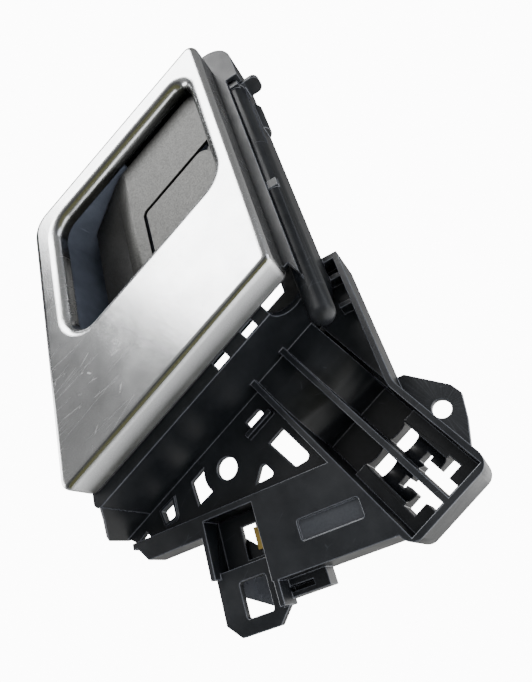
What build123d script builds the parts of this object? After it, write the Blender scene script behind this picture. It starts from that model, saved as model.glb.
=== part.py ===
from build123d import *
import math
import os

# Left-hand car interior door handle. Millimetres.
# X runs from the finger-cup end to the hinge end, Y into the door, Z up.
# Sizes are laid out from the lower left corner of the bezel's flat face, and the finished
# pieces are then placed so that the screw hole of the mounting ear is the origin.
# The short sides of the bezel lean forward. "across" is measured square to them,
# "along" is measured up them, and the hinge pin runs along.
LEAN = 25.6

# Bezel
FACE_LENGTH = 105.0
FACE_HEIGHT = 110.0
BEZEL_DEPTH = 13.5
BEZEL_WALL = 2.4
BEZEL_EDGE = 2.0
BEZEL_EDGE_R = 3.0
BEZEL_CORNER_R = (2.0, 2.0, 2.2, 11.0)
LEFT_BAND = 10.5
RIGHT_BAND = 7.2
LOW_BAND = 44.5
TOP_BAND = 10.0
OPENING_CORNER_R = (8.0, 14.0, 5.0, 11.0)
LIP_DEPTH = 7.0
LIP_SHARE = 0.45
HOOK_WIDTH = 4.0
HOOK_THICK = 1.5
HOOK_BARB = 0.9
HOOKS_LOW_X = (30.0, 68.0, 84.0)
HOOKS_TOP_X = (64.0, 149.0)

# Felt between bezel rim and carrier flange
FELT_THICK = 1.0
FELT_WIDTH = 1.8

# Lever and lock tab
LEVER_FACE = 7.5
COVER_THICK = 1.5
CORE_THICK = 2.5
LEVER_SIDE_GAP = 0.5
LEVER_LOW_GAP = 2.3
LEVER_TOP_GAP = 2.5
LEVER_FLAT = 42.0
BEND_R = 16.0
BEND_ANGLE = 24.0
NOSE_GAP = 8.0
TAB_GAP = 1.2
TAB_HEIGHT = 22.2
TAB_LENGTH = 36.5
TAB_CORNER_R = 2.5
TAB_LOW_R = 11.0
TAB_HIGH_R = 5.0
ARM_HALF = 3.5
ARM_WIDTH = 5.0
LEVER_ARM_REACH = 23.0
TAB_ARM_REACH = 20.0
NIPPLE_R = 2.4
NIPPLE_INSET = 4.2
CABLE_SLIT = 2.0
RIB_THICK = 2.0
RIB_DEPTH = 3.0

# Hinge
HINGE_INSET = 1.0
HINGE_DEPTH = 13.5
PIN_R = 2.0
PIN_FIT = 0.05
PIN_PAST_LOW = 2.1
PIN_PAST_HIGH = 0.3
KNUCKLE_R = 4.5
KNUCKLE_GAP = 0.5
LEVER_KNUCKLE = 7.0
LEVER_KNUCKLE_ROOM = (1.5, 0.7)
TAB_KNUCKLE = 5.8
TAB_KNUCKLE_ROOM = (2.3, 1.3)
LUG_LOW = 4.0
LUG_LOW_ROOM = 2.8
LUG_HIGH = 3.0
LUG_HIGH_ROOM = 0.1
PIN_CLIP_R = 4.2
PIN_CLIP_THICK = 0.8

# Return spring on the pin
SPRING_WIRE_R = 0.55
SPRING_MEAN_R = 3.8
SPRING_TURNS = 5
SPRING_STEPS = 9
SPRING_END_GAP = 2.2
SPRING_LEG = 10.0
SPRING_SHORT_LEG = 8.0
SPRING_ROOM = 0.7

# Finger cup
CUP_WALL = 2.0
CUP_SPAN = 51.5
CUP_FLOOR = 34.0
CUP_DRAFT = 6.0
CUP_RIM_GAP = 0.3
CUP_FLOOR_CHAMFER = 3.0
CUP_LOW_RIM = 19.0
CUP_LOW_SPAN = 16.0
CUP_BOSS_R = 4.0
CUP_BOSS_IN = ((15.5, 17.5), (33.5, 41.5))

# Rubber stops
STOP_HALF = 2.8
STOP_GAP = 0.3
STOP_SEAT = 2.5
STOP_LAND = 0.7
STOP_PAST_CUP = 3.5
STOP_ABOVE_TAB = 4.0
STOP_BELOW_TOP = 6.8
STOP_ABOVE_LOW = 8.8

# Carrier housing
CARRIER_PAST_RIGHT = 12.3
CARRIER_PAST_LOW = 7.0
CARRIER_PAST_TOP = 9.0
CARRIER_CORNER_R = (2.5, 9.0, 11.0, 12.0)
CARRIER_WALL = 2.5
CARRIER_BACK = 46.5
CARRIER_ROLL_R = 11.0
FLANGE_THICK = 2.0
FLANGE_LAND = (7.5, 2.2, 8.0, 4.3)
FLANGE_WINDOW = (6.0, 3.8)
TOOL_WINDOWS_X = (68.0, 83.0, 95.5)
BACK_WINDOW_LAND = (12.0, 21.0, 11.0, 7.5)
ARM_WINDOW_REACH = (18.0, 8.0)
ARM_WINDOW_LAND = (3.0, 5.5)
SCALLOP_FROM_RIGHT = 4.0
SCALLOP_R = 9.0
BAR_R = (5.0, 4.4)
BAR_ALONG = (29.0, 113.0, 153.0)
BAR_DEPTH = 22.0
BAR_GROOVE = 4.5
BULGE_R = 4.5
BULGE_ALONG = (128.0, 144.0)
BULGE_DEPTH = 30.0
TOP_HOOK_REACH = 7.0
TOP_HOOK_THICK = 1.8
TOP_HOOK_DEPTH = (19.0, 28.0)
TOP_HOOK_R = 3.0

# Hole plate below the housing
PLATE_HOLE = (36.1, -19.2)
PLATE_HOLE_R = 4.4

# Lower shelf and tongue, square to the leaning sides
SHELF_FRONT = 36.0
SHELF_THICK = 2.5
SHELF_TOP_ALONG = -17.0
SHELF_LOW_ALONG = -47.0
SHELF_LEFT = -2.0
SHELF_STEP_ALONG = -25.0
SHELF_BACK = 56.0
SHELF_RECESS_ACROSS = (65.0, 88.0)
SHELF_RECESS_ALONG = (-38.2, -31.2)
SHELF_RECESS_DEEP = 1.2
TONGUE_ACROSS = (28.0, 53.0)
TONGUE_END_ALONG = -60.0
TONGUE_FRONT = 40.0
TONGUE_THICK = 3.0
TONGUE_CHAMFER = 5.0
TONGUE_WINDOW_ACROSS = (36.5, 47.0)
TONGUE_WINDOW_ALONG = (-55.0, -43.0)
POCKET_ALONG = (-40.0, -19.5)
POCKET_FLOOR = 47.0
POCKET_SLOT_ACROSS = (39.0, 45.0)
POCKET_SLOT_ALONG = (-36.0, -24.0)
LOW_BLOCK_LENGTH = 17.0
LOW_BLOCK_DROP = 6.0
LOW_BLOCK_DEPTH = (44.0, 52.0)
LOW_SLOT_LENGTH = 9.0
LOW_SLOT_HEIGHT = 1.8

# Cable bracket
BRACKET_LENGTH = 84.5
BRACKET_LOW = -89.5
BRACKET_FROM_RIGHT = 2.5
BRACKET_WIDTH = 36.0
BRACKET_FRONT = 36.0
BRACKET_BACK = 62.0
BRACKET_WALL = 2.4
BRACKET_CORNER_R = 5.0
SADDLE_TOP_Z = -16.0
SADDLE_R = 24.0
SEAT_FRONT = 50.0
SEAT_TROUGH_R = 4.2
SEAT_TROUGH_FROM_MID = 4.6
# Windows through each seat: distance from the middle wall, then height
SEAT_WINDOWS = (((0.8, 9.0), (-63.4, -57.0)), ((2.2, 6.4), (-71.4, -69.0)), ((0.0, 4.6), (-76.0, -71.4)),
                ((0.0, 10.3), (-80.8, -76.0)), ((0.0, 4.4), (-84.4, -80.8)))
SWEEP_DEPTH = 52.0
SWEEP_R = 8.0

# Mounting ear
EAR_PAST_RIGHT = 2.0
EAR_Z = -62.5
EAR_DEPTH = 54.0
EAR_THICK = 3.0
EAR_HOLE_R = 3.5

# Spring clip of the tongue pocket
CLIP_STRIP = 0.8
CLIP_WIDTH = 8.0
CLIP_LEG = 5.0

# Detent leaf of the lock tab
LEAF_THICK = 0.5
LEAF_GAP = 0.6
LEAF_BUMP = 0.25

# Screws into the cup bosses
SCREW_R = 1.5
SCREW_LENGTH = 8.0
SCREW_HEAD_R = 3.0
SCREW_HEAD_H = 2.0

# Fits, seats and small radii
HOOK_GAP = 0.2
HOOK_SINK = 0.2
HOOK_BARB_LENGTH = 1.6
FELT_INSET = 0.2
FLANGE_INNER_R = (6.0, 6.0, 6.0, 6.0)
WINDOW_R = (4.0, 4.0, 4.0, 4.0)
LUG_ROOT_DEPTH = 38.0
LUG_TOE = 8.0
LEVER_CORNER_R = 3.0
CORE_INSET = 2.0
RIB_INSET = 3.5
TAB_RIB_INSET = 7.5
SPRING_SEAT_GAP = 0.1
CUP_CORNER_R = (8.0, 7.0, 7.0, 11.0)
CUP_DRAFT_IN = 2.0
SCREW_CLEARANCE = 0.3
PLATE_LEFT = -15.0
PANEL_LEFT = ((-7.7, 24.6), (-15.6, 34.2))
PLATE_LAND_R = 10.5
S_SLOT = ((18.0, -20.8), (27.5, -21.2), (29.0, -11.4), (21.4, -11.6))
S_SLOT_R = (0, 0, 0, 0.8)
TRIANGLE = ((40.7, -32.9), (48.8, -36.2), (48.2, -28.4))
TRIANGLE_R = (0, 1.5, 1.5)
RECT_HOLE = ((56.0, -40.0), (63.0, -42.2), (62.4, -25.6), (54.8, -25.6))
RECT_HOLE_R = (2.0, 2.0, 0, 0)
SMALL_SLOT = ((53.6, -15.4), (61.2, -15.4), (61.2, -12.2), (53.6, -12.2))
SMALL_SLOT_R = (0, 0, 1.4, 0)
LEFT_HOLE = ((3.8, -15.6), (8.2, -16.8), (10.9, -11.2), (5.0, -10.9))
LEFT_HOLE_R = (0, 1.2, 0, 0)
LEFT_HOLE_RIM = 1.2
LEFT_HOLE_RIM_HEIGHT = 1.0
CORNER_HOLE = ((-10.0, -11.8), (-5.4, -14.6), (-5.6, -11.2))
CORNER_HOLE_R = (0, 0, 0)
RIDGE_DROP = 1.5
RIDGE_OVERRUN = 3.0
RIDGE_HEIGHT = 3.0
SHELF_STEP_IN = 6.0
SADDLE_DROP = 4.0
EAR_OUTLINE = ((-6.5, 22.5), (1.0, 19.0), (8.8, 3.4), (9.0, -1.4), (3.2, -9.0), (-6.5, -19.0))
EAR_OUTLINE_R = (0, 0, 3.5, 1.5, 4.0, 0)
WEB_PAST_CARRIER = 6.5
WEB_TOP_ALONG = 59.0
WEB_RIBS_ALONG = (36.0, 49.0)
WEB_RIB_HEIGHT = 6.0
LEAF_SPAN = 12.0
LEAF_FOOT = 12.0
LEAF_BUMP_R = 2.0
OVERCUT = 1.0
ROOT = 0.5
MIN_CORNER_R = 0.6
PLANE_TOL = 0.01
RECESS_R = 1.0
PIN_HEAD_R = 3.0
POST_INSET = 1.0

COS = math.cos(math.radians(LEAN))
SIN = math.sin(math.radians(LEAN))
ACROSS_DIR = Vector(COS, 0, -SIN)
ALONG_DIR = Vector(SIN, 0, COS)


def slant(across, z):
    """Face-plane point at a distance across from the leaning side, at height z."""
    return ((across + z * SIN) / COS, z)


def lean_point(across, along):
    """Face-plane point from distances across and along the leaning sides."""
    return (across * COS + along * SIN, along * COS - across * SIN)


def along_at(across, z):
    """Distance along the leaning sides of the point at that height."""
    return (z + across * SIN) / COS


def start_of(along, length):
    return (along, along + length)


def end_of(along, length):
    return (along - length, along)


# Places that follow from the sizes above
FACE_ACROSS = (0.0, FACE_LENGTH * COS)
OPENING_ACROSS = (LEFT_BAND, FACE_ACROSS[1] - RIGHT_BAND)
OPENING_HEIGHT = (LOW_BAND, FACE_HEIGHT - TOP_BAND)
LIP_ROLL_R = LIP_SHARE * TOP_BAND
FELT_FRONT = BEZEL_DEPTH
FLANGE_FRONT = FELT_FRONT + FELT_THICK
FLANGE_BACK = FLANGE_FRONT + FLANGE_THICK
BACK_FRONT = CARRIER_BACK - CARRIER_WALL
CARRIER_ACROSS = (0.0, FACE_ACROSS[1] + CARRIER_PAST_RIGHT)
CARRIER_HEIGHT = (-CARRIER_PAST_LOW, FACE_HEIGHT + CARRIER_PAST_TOP)
FLANGE_INNER_ACROSS = (FLANGE_LAND[0], FACE_ACROSS[1] - FLANGE_LAND[1])
FLANGE_INNER_HEIGHT = (FLANGE_LAND[2], FACE_HEIGHT - FLANGE_LAND[3])
LEVER_RIGHT = OPENING_ACROSS[1] - LEVER_SIDE_GAP
LEVER_HEIGHT = (OPENING_HEIGHT[0] + LEVER_LOW_GAP, OPENING_HEIGHT[1] - LEVER_TOP_GAP)
HINGE_ACROSS = LEVER_RIGHT - HINGE_INSET
CORE_RIGHT = LEVER_RIGHT - CORE_INSET
CORE_FACE = LEVER_FACE + COVER_THICK
CORE_BACK = CORE_FACE + CORE_THICK
BEND_ACROSS = LEVER_RIGHT - LEVER_FLAT
NOSE_END = OPENING_ACROSS[0] + NOSE_GAP
TAB_TOP = LEVER_HEIGHT[0] + TAB_HEIGHT
TAB_LEFT = LEVER_RIGHT - TAB_LENGTH
LOW_END = along_at(HINGE_ACROSS, LEVER_HEIGHT[0])
SPLIT = along_at(HINGE_ACROSS, TAB_TOP)
HIGH_END = along_at(HINGE_ACROSS, LEVER_HEIGHT[1])
LEVER_KNUCKLES = (start_of(SPLIT + LEVER_KNUCKLE_ROOM[0], LEVER_KNUCKLE),
                  end_of(HIGH_END - LEVER_KNUCKLE_ROOM[1], LEVER_KNUCKLE))
TAB_KNUCKLES = (start_of(LOW_END + TAB_KNUCKLE_ROOM[0], TAB_KNUCKLE),
                end_of(SPLIT - TAB_KNUCKLE_ROOM[1], TAB_KNUCKLE))
LUG_LOW_ALONG = end_of(LOW_END - LUG_LOW_ROOM, LUG_LOW)
LUG_HIGH_ALONG = start_of(HIGH_END + LUG_HIGH_ROOM, LUG_HIGH)
PIN_ALONG = (LUG_LOW_ALONG[0] - PIN_PAST_LOW, LUG_HIGH_ALONG[1] + PIN_PAST_HIGH)
SPRING_ALONG = (LEVER_KNUCKLES[0][1] + SPRING_END_GAP, LEVER_KNUCKLES[1][0] - SPRING_END_GAP)
CUP_RIGHT = OPENING_ACROSS[0] + CUP_SPAN
CUP_LOW_RIM_FROM = CUP_RIGHT - CUP_LOW_SPAN
CUP_BOSSES = [(OPENING_ACROSS[0] + a, OPENING_HEIGHT[0] + z) for a, z in CUP_BOSS_IN]
STOP_ACROSS = CUP_RIGHT + STOP_PAST_CUP
LEVER_STOPS = [along_at(STOP_ACROSS, z) for z in (TAB_TOP + STOP_ABOVE_TAB, LEVER_HEIGHT[1] - STOP_BELOW_TOP)]
TAB_STOP = along_at(STOP_ACROSS, LEVER_HEIGHT[0] + STOP_ABOVE_LOW)
BACK_WINDOW_ACROSS = (BACK_WINDOW_LAND[0], CARRIER_ACROSS[1] - BACK_WINDOW_LAND[1])
BACK_WINDOW_HEIGHT = (CARRIER_HEIGHT[0] + BACK_WINDOW_LAND[2], LOW_BAND - BACK_WINDOW_LAND[3])
ARM_WINDOW_ACROSS = (HINGE_ACROSS - ARM_WINDOW_REACH[0], HINGE_ACROSS + ARM_WINDOW_REACH[1])
ARM_WINDOW_HEIGHT = (TAB_TOP + ARM_WINDOW_LAND[0], LEVER_HEIGHT[1] - ARM_WINDOW_LAND[1])
BRACKET_X = end_of(FACE_LENGTH - BRACKET_FROM_RIGHT, BRACKET_WIDTH)
BRACKET_Z = start_of(BRACKET_LOW, BRACKET_LENGTH)
BRACKET_MID_X = sum(BRACKET_X) / 2
WEB_ACROSS = CARRIER_ACROSS[1] + WEB_PAST_CARRIER
BEND_Z = (BRACKET_X[1] * COS - WEB_ACROSS) / SIN
EAR_X = FACE_LENGTH + EAR_PAST_RIGHT
PLACE = Pos(-EAR_X, -EAR_DEPTH, -EAR_Z)


def rounded(points, radii):
    """Polygon with each corner rounded by its own radius; 0 leaves it sharp."""
    shape = make_face(Polyline(*points, close=True))
    for point, radius in zip(points, radii):
        if radius > 0:
            corner = shape.vertices().sort_by_distance((point[0], point[1], 0))[0]
            shape = fillet(corner, radius)
    return shape


def leaning(across, height, radii, grow=0.0):
    """Leaning four-sided outline, grown outwards by a margin, lower left corner first."""
    a0, a1 = across[0] - grow, across[1] + grow
    z0, z1 = height[0] - grow, height[1] + grow
    points = [slant(a0, z0), slant(a1, z0), slant(a1, z1), slant(a0, z1)]
    return rounded(points, [max(radius + grow, MIN_CORNER_R) for radius in radii])


def slab(shape, near, far, taper=0.0):
    """Face-plane outline made solid between two depths; a taper narrows it inwards."""
    return extrude(Plane.XZ.offset(-near) * shape, amount=near - far, taper=taper)


def lean_slab(shape, near, far):
    """Outline in across and along distances made solid between two depths."""
    return slab(Rot(0, 0, -LEAN) * shape, near, far)


def section(shape, along0, along1):
    """Outline in across distance and depth made solid along the leaning direction."""
    plane = Plane(origin=ALONG_DIR * along0, x_dir=ACROSS_DIR, z_dir=ALONG_DIR)
    return extrude(plane * shape, amount=along1 - along0)


def block(x, y, z):
    """Block square to X, Y and Z, from three pairs of limits."""
    size = [pair[1] - pair[0] for pair in (x, y, z)]
    centre = [(pair[0] + pair[1]) / 2 for pair in (x, y, z)]
    return Pos(*centre) * Box(*size)


def lean_block(across, along, depth):
    """Block square to the leaning sides, from three pairs of limits."""
    centre = [(pair[0] + pair[1]) / 2 for pair in (across, along)]
    shape = Pos(*centre) * Rectangle(across[1] - across[0], along[1] - along[0])
    return lean_slab(shape, depth[0], depth[1])


def rod(across, depth, along0, along1, radius):
    """Round bar along the leaning direction."""
    return section(Pos(across, depth) * Circle(radius), along0, along1)


def stud(x, z, near, far, radius):
    """Round bar along Y."""
    return slab(Pos(x, z) * Circle(radius), near, far)


def hinge_rod(along, radius):
    return rod(HINGE_ACROSS, HINGE_DEPTH, along[0], along[1], radius)


def bezel_outline(grow=0.0):
    return leaning(FACE_ACROSS, (0.0, FACE_HEIGHT), BEZEL_CORNER_R, BEZEL_EDGE + grow)


def opening_outline(grow=0.0):
    return leaning(OPENING_ACROSS, OPENING_HEIGHT, OPENING_CORNER_R, grow)


def front_edges(shape, depth):
    """Edges that lie in the plane at that depth."""
    return shape.edges().filter_by_position(Axis.Y, depth - PLANE_TOL, depth + PLANE_TOL)


def hook(x, root, way):
    """Snap hook behind the face at height root, with its barb behind the flange."""
    x_pair = (x - HOOK_WIDTH / 2, x + HOOK_WIDTH / 2)
    back = FLANGE_BACK + HOOK_GAP
    far = back + HOOK_BARB_LENGTH
    stem = block(x_pair, (BEZEL_WALL - HOOK_SINK, far), sorted((root, root + way * HOOK_THICK)))
    barb = block(x_pair, (back, far), sorted((root + way * HOOK_THICK / 2, root - way * HOOK_BARB)))
    return stem + barb


def is_opening_edge(edge):
    """True for a front edge that lies on the opening and not on the outer rim."""
    centre = edge @ 0.5
    across = centre.X * COS - centre.Z * SIN
    inside_across = OPENING_ACROSS[0] - OVERCUT < across < OPENING_ACROSS[1] + OVERCUT
    inside_height = OPENING_HEIGHT[0] - OVERCUT < centre.Z < OPENING_HEIGHT[1] + OVERCUT
    return inside_across and inside_height


def bezel():
    """Plated frame: rounded face, hollow back, and a rolled lip round the opening."""
    body = slab(bezel_outline(), 0, BEZEL_DEPTH)
    body = fillet(front_edges(body, 0), BEZEL_EDGE_R)
    body -= slab(bezel_outline(-BEZEL_WALL), BEZEL_WALL, BEZEL_DEPTH + OVERCUT)
    lip = slab(opening_outline(LIP_ROLL_R), BEZEL_WALL / 2, LIP_DEPTH)
    body += lip & slab(bezel_outline(-BEZEL_WALL / 2), 0, LIP_DEPTH)
    body -= slab(opening_outline(), -OVERCUT, LIP_DEPTH + OVERCUT)
    rim = [edge for edge in front_edges(body, 0) if is_opening_edge(edge)]
    body = fillet(rim, LIP_ROLL_R)
    for x in HOOKS_LOW_X:
        body += hook(x, BEZEL_WALL, 1)
    for x in HOOKS_TOP_X:
        body += hook(x, FACE_HEIGHT - BEZEL_WALL, -1)
    return body


def felt_strip():
    ring = bezel_outline(-FELT_INSET) - bezel_outline(-FELT_INSET - FELT_WIDTH)
    return slab(ring, FELT_FRONT, FLANGE_FRONT)


def corner_waste(radius, grow):
    """What is taken off the back right corner of the housing to leave it rolled."""
    right = CARRIER_ACROSS[1] - CARRIER_WALL + grow
    back = BACK_FRONT + grow
    centre = (right - radius, back - radius)
    square = Pos(centre[0] + radius, centre[1] + radius) * Rectangle(2 * radius, 2 * radius)
    waste = square - Pos(*centre) * Circle(radius)
    return section(waste, along_at(0, CARRIER_HEIGHT[0]), along_at(2 * right, CARRIER_HEIGHT[1]))


def flange_windows():
    """Slots for the hooks, and the tool openings below the bezel rim."""
    y_pair = (FLANGE_FRONT - OVERCUT, FLANGE_BACK + OVERCUT)
    width, height = FLANGE_WINDOW
    places = [(x, BEZEL_WALL - HOOK_SINK) for x in HOOKS_LOW_X]
    places += [(x, FACE_HEIGHT - BEZEL_WALL + HOOK_SINK - height) for x in HOOKS_TOP_X]
    places += [(x, -BEZEL_EDGE - HOOK_SINK - height) for x in TOOL_WINDOWS_X]
    return [block((x - width / 2, x + width / 2), y_pair, (z, z + height)) for x, z in places]


def lug(along):
    """Bearing lug for the pin, webbed to the right wall."""
    wall = CARRIER_ACROSS[1] - CARRIER_WALL + OVERCUT
    web = make_face(Polyline((HINGE_ACROSS - KNUCKLE_R, HINGE_DEPTH), (HINGE_ACROSS + KNUCKLE_R, HINGE_DEPTH),
                             (FLANGE_INNER_ACROSS[1], FLANGE_BACK), (wall, FLANGE_BACK), (wall, LUG_ROOT_DEPTH),
                             (HINGE_ACROSS + LUG_TOE, LUG_ROOT_DEPTH), close=True))
    return hinge_rod(along, KNUCKLE_R) + section(web, along[0], along[1])


def side_bar():
    """Rolled edge of the right wall in two steps, with its bulge and top hook."""
    right = CARRIER_ACROSS[1]
    low, middle, high = BAR_ALONG
    body = rod(right - BAR_R[0], BAR_DEPTH, low, middle, BAR_R[0])
    body += rod(right - BAR_R[0], BAR_DEPTH, middle, high, BAR_R[1])
    end = ACROSS_DIR * (right - BAR_R[0]) + ALONG_DIR * low + Vector(0, BAR_DEPTH, 0)
    body += Pos(end) * Sphere(BAR_R[0])
    body += rod(right - BULGE_R / 2, BULGE_DEPTH, BULGE_ALONG[0], BULGE_ALONG[1], BULGE_R)
    near, far = TOP_HOOK_DEPTH
    tip = right + TOP_HOOK_REACH
    leaf = rounded([(right - CARRIER_WALL, near), (tip, near), (tip, far), (right - CARRIER_WALL, far)],
                   (0, TOP_HOOK_R, TOP_HOOK_R, 0))
    return body + section(leaf, high - TOP_HOOK_THICK, high)


def side_groove():
    """Strip of flange left out between the bezel rim and the rolled right edge."""
    return lean_block((FACE_ACROSS[1] + BEZEL_EDGE + BAR_GROOVE, CARRIER_ACROSS[1] + OVERCUT),
                      (BAR_ALONG[0], BAR_ALONG[2]), (FLANGE_FRONT - OVERCUT, BAR_DEPTH))


def housing():
    """Walls, flange and back of the carrier behind the bezel."""
    outer = slab(leaning(CARRIER_ACROSS, CARRIER_HEIGHT, CARRIER_CORNER_R), FLANGE_FRONT, CARRIER_BACK)
    outer -= corner_waste(CARRIER_ROLL_R, CARRIER_WALL)
    cavity = slab(leaning(CARRIER_ACROSS, CARRIER_HEIGHT, CARRIER_CORNER_R, -CARRIER_WALL),
                  FLANGE_BACK, BACK_FRONT)
    cavity -= corner_waste(CARRIER_ROLL_R - CARRIER_WALL, 0.0)
    body = outer - cavity
    body -= slab(leaning(FLANGE_INNER_ACROSS, FLANGE_INNER_HEIGHT, FLANGE_INNER_R),
                 FLANGE_FRONT - OVERCUT, FLANGE_BACK + OVERCUT)
    for across, height in ((BACK_WINDOW_ACROSS, BACK_WINDOW_HEIGHT), (ARM_WINDOW_ACROSS, ARM_WINDOW_HEIGHT)):
        body -= slab(leaning(across, height, WINDOW_R), BACK_FRONT - OVERCUT, CARRIER_BACK + OVERCUT)
    for cut in flange_windows():
        body -= cut
    scallop_x = FACE_LENGTH - SCALLOP_FROM_RIGHT
    body -= Pos(scallop_x, FLANGE_FRONT, CARRIER_HEIGHT[0]) * Cylinder(SCALLOP_R, 2 * SCALLOP_R)
    body -= side_groove()
    body += side_bar()
    for along in (LUG_LOW_ALONG, LUG_HIGH_ALONG):
        body += lug(along)
    return body


def plate_holes():
    """Lightening holes of the plate below the housing."""
    land = Pos(*PLATE_HOLE) * Circle(PLATE_LAND_R)
    s_slot = rounded(S_SLOT, S_SLOT_R) - land
    return [Pos(*PLATE_HOLE) * Circle(PLATE_HOLE_R), s_slot, rounded(TRIANGLE, TRIANGLE_R),
            rounded(RECT_HOLE, RECT_HOLE_R), rounded(SMALL_SLOT, SMALL_SLOT_R), rounded(LEFT_HOLE, LEFT_HOLE_R),
            rounded(CORNER_HOLE, CORNER_HOLE_R)]


def hole_plate():
    right = BRACKET_X[0] + OVERCUT
    low_left = lean_point(SHELF_LEFT, SHELF_TOP_ALONG - OVERCUT)
    low_right = (right, lean_z(right, SHELF_TOP_ALONG - OVERCUT))
    top = CARRIER_HEIGHT[0] + CARRIER_WALL
    plate = make_face(Polyline((PLATE_LEFT, top), (right, top), low_right, low_left, close=True))
    for hole in plate_holes():
        plate -= hole
    body = slab(plate, BACK_FRONT, CARRIER_BACK)
    hole = rounded(LEFT_HOLE, LEFT_HOLE_R)
    rim = offset(hole, LEFT_HOLE_RIM, kind=Kind.INTERSECTION) - hole
    body += slab(rim, BACK_FRONT - LEFT_HOLE_RIM_HEIGHT, CARRIER_BACK)
    ridge_z = SMALL_SLOT[0][1] - RIDGE_DROP
    body += block((SMALL_SLOT[0][0] - RIDGE_OVERRUN, SMALL_SLOT[1][0] + RIDGE_OVERRUN),
                  (BACK_FRONT - RIDGE_HEIGHT, BACK_FRONT + OVERCUT), (ridge_z - RIB_THICK, ridge_z))
    return body


def rounded_box(across, along):
    """Outline of a round-cornered window, from two pairs of limits."""
    shape = RectangleRounded(across[1] - across[0], along[1] - along[0], RECESS_R)
    return Pos(sum(across) / 2, sum(along) / 2) * shape


def lean_z(x, along):
    """Height of the point with that X on the line at a distance along."""
    return along * COS - (x - along * SIN) / COS * SIN


def shelf():
    """Lower shelf: front plate with its shallow recess, walls behind it and the left step."""
    right_top = (BRACKET_X[0] + OVERCUT - SHELF_TOP_ALONG * SIN) / COS
    right_low = (BRACKET_X[0] + OVERCUT - SHELF_LOW_ALONG * SIN) / COS
    step_left = SHELF_LEFT + SHELF_STEP_IN
    front = make_face(Polyline((SHELF_LEFT, SHELF_TOP_ALONG), (right_top, SHELF_TOP_ALONG),
                               (right_low, SHELF_LOW_ALONG), (TONGUE_ACROSS[1], SHELF_LOW_ALONG),
                               (TONGUE_ACROSS[1], SHELF_STEP_ALONG), (step_left, SHELF_STEP_ALONG), close=True))
    recess = rounded_box(SHELF_RECESS_ACROSS, SHELF_RECESS_ALONG)
    body = lean_slab(front, SHELF_FRONT, SHELF_FRONT + SHELF_THICK)
    body -= lean_slab(recess, SHELF_FRONT - OVERCUT, SHELF_FRONT + SHELF_RECESS_DEEP)
    body += lean_block((SHELF_LEFT, right_top), (SHELF_TOP_ALONG - SHELF_THICK, SHELF_TOP_ALONG),
                       (SHELF_FRONT, CARRIER_BACK))
    body += lean_block((TONGUE_ACROSS[1], right_low), (SHELF_LOW_ALONG, SHELF_LOW_ALONG + SHELF_THICK),
                       (SHELF_FRONT, SHELF_BACK))
    body += lean_block((step_left, TONGUE_ACROSS[0] + OVERCUT), start_of(SHELF_STEP_ALONG, SHELF_THICK),
                       (SHELF_FRONT, POCKET_FLOOR))
    body += lean_block((TONGUE_ACROSS[1] - SHELF_THICK, TONGUE_ACROSS[1]), (SHELF_LOW_ALONG, SHELF_TOP_ALONG),
                       (SHELF_FRONT, SHELF_BACK))
    return body + low_block()


def low_block():
    """Block under the shelf beside the tongue, with its slot."""
    across = start_of(TONGUE_ACROSS[1] - SHELF_THICK, LOW_BLOCK_LENGTH)
    along = (SHELF_LOW_ALONG - LOW_BLOCK_DROP, SHELF_LOW_ALONG + OVERCUT)
    body = lean_block(across, along, LOW_BLOCK_DEPTH)
    slot_low = along[0] + LOW_SLOT_HEIGHT
    slot = lean_block(start_of(across[0] + SHELF_THICK, LOW_SLOT_LENGTH), start_of(slot_low, LOW_SLOT_HEIGHT),
                      (LOW_BLOCK_DEPTH[0] - OVERCUT, sum(LOW_BLOCK_DEPTH) / 2))
    return body - slot


def tongue():
    """Window tongue with side ribs, and the pocket above it."""
    a0, a1 = TONGUE_ACROSS
    end = TONGUE_END_ALONG
    cut = TONGUE_CHAMFER
    outline = make_face(Polyline((a0, POCKET_ALONG[0]), (a0, end + cut), (a0 + cut, end), (a1 - cut, end),
                                 (a1, end + cut), (a1, POCKET_ALONG[0]), close=True))
    window = rounded_box(TONGUE_WINDOW_ACROSS, TONGUE_WINDOW_ALONG)
    body = lean_slab(outline - window, TONGUE_FRONT, TONGUE_FRONT + TONGUE_THICK)
    low = POCKET_ALONG[0]
    high = SHELF_TOP_ALONG - OVERCUT
    back = POCKET_FLOOR + SHELF_THICK
    body += lean_block((a1 - RIB_THICK, a1), (end + cut, POCKET_ALONG[1]), (SHELF_FRONT, POCKET_FLOOR))
    body += lean_block((a0, a0 + RIB_THICK), (low, high), (SHELF_FRONT, back))
    body += lean_block((a0, a1), (low, low + RIB_THICK), (TONGUE_FRONT, back))
    return body + lean_block((a0, a1), (low, high), (POCKET_FLOOR, back))


def pocket_slot():
    far = POCKET_FLOOR + SHELF_THICK
    return lean_block(POCKET_SLOT_ACROSS, POCKET_SLOT_ALONG, (POCKET_FLOOR - OVERCUT, far + OVERCUT))


def pocket_mouth():
    """Open front of the pocket in the shelf plate."""
    return lean_block((TONGUE_ACROSS[0] + RIB_THICK, TONGUE_ACROSS[1] - SHELF_THICK),
                      (SHELF_LOW_ALONG, SHELF_TOP_ALONG - SHELF_THICK), (SHELF_FRONT - OVERCUT, TONGUE_FRONT))


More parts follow.
